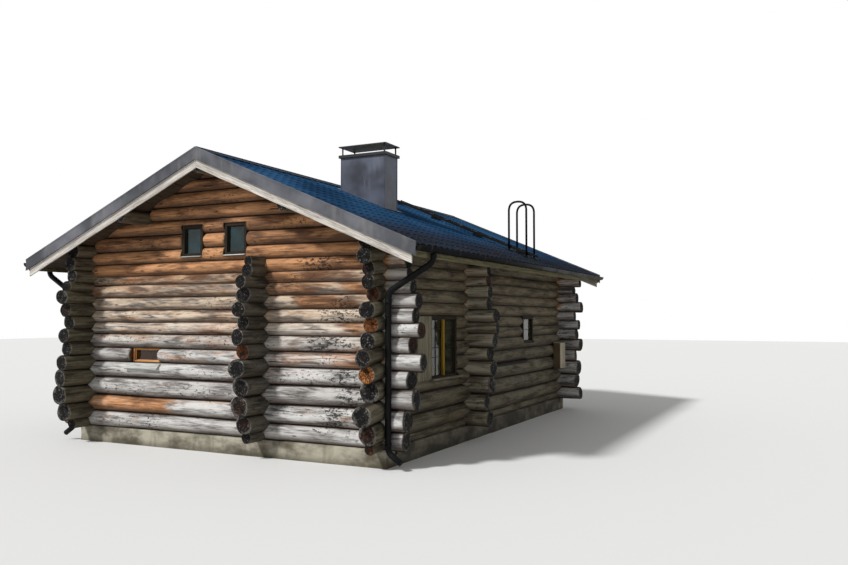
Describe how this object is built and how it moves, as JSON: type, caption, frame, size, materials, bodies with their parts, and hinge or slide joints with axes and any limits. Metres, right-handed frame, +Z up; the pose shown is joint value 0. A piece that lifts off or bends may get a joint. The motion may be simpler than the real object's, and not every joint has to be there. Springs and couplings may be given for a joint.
{
  "type": "log cabin",
  "caption": "Notched round log cabin on a low plinth, with projecting log ends, a metal covered gable roof over deep eaves and a sheet clad chimney.",
  "frame": {"origin": "on the ground under the middle of the roof", "axes": "+X towards the long side with the chimney, +Y from the front gable to the back gable, +Z up"},
  "size_m": [7.4706, 9.24, 5.1206],
  "materials": {
    "plinth_plaster": "rough plaster",
    "floor_slab": "plain concrete",
    "gable_logs": "weathered round logs",
    "side_logs": "weathered round logs",
    "partition_logs": "round logs",
    "loft_boards": "plain boards",
    "purlin_logs": "dark round logs",
    "roof_boards": "dark boards",
    "roof_metal": "slate blue coated sheet",
    "barge_metal": "dark grey coated sheet",
    "pale_boards": "weathered boards",
    "olive_boards": "faded paint",
    "black_metal": "black coated tube",
    "masonry": "plain masonry",
    "chimney_metal": "charcoal coated sheet",
    "ochre_frames": "clear finished pine",
    "dark_frames": "dark painted wood",
    "window_glass": "clear",
    "grey_boards": "weathered boards",
    "door_wood": "brown stained boards",
    "cabinet_metal": "beige coated steel"
  },
  "bodies": {
    "root": {"foundation_gables": "plinth_plaster", "foundation_sides": "plinth_plaster", "ground_floor": "floor_slab", "front_gable_wall": "gable_logs", "back_gable_wall": "gable_logs", "front_gable_upper": "gable_logs", "back_gable_upper": "gable_logs", "right_wall": "side_logs", "left_wall": "side_logs", "long_partition": "partition_logs", "cross_partition": "partition_logs", "loft_floor": "loft_boards", "purlins": "purlin_logs", "roof_deck_right": "roof_boards", "roof_deck_left": "roof_boards", "roof_sheets_right": "roof_metal", "roof_sheets_left": "roof_metal", "ridge_cap": "roof_metal", "front_bargeboards": "barge_metal", "back_bargeboards": "barge_metal", "rake_boards": "pale_boards", "fascia_boards": "olive_boards", "gutter_right": "black_metal", "gutter_left": "black_metal", "downspout_right": "black_metal", "downspout_left": "black_metal", "chimney_stack": "masonry", "chimney_cladding": "chimney_metal", "chimney_crown": "chimney_metal", "chimney_cap": "chimney_metal", "right_window_frames": "ochre_frames", "left_window_frames": "ochre_frames", "front_window_frames": "dark_frames", "back_window_frames": "dark_frames", "right_window_panes": "window_glass", "left_window_panes": "window_glass", "front_window_panes": "window_glass", "back_window_panes": "window_glass", "window_sills": "grey_boards", "window_casings": "grey_boards", "back_door_frame": "door_wood", "back_door": "door_wood", "meter_cabinet": "cabinet_metal", "roof_ladder": "black_metal", "roof_ladder_hoops": "black_metal"}
  },
  "joints": []
}
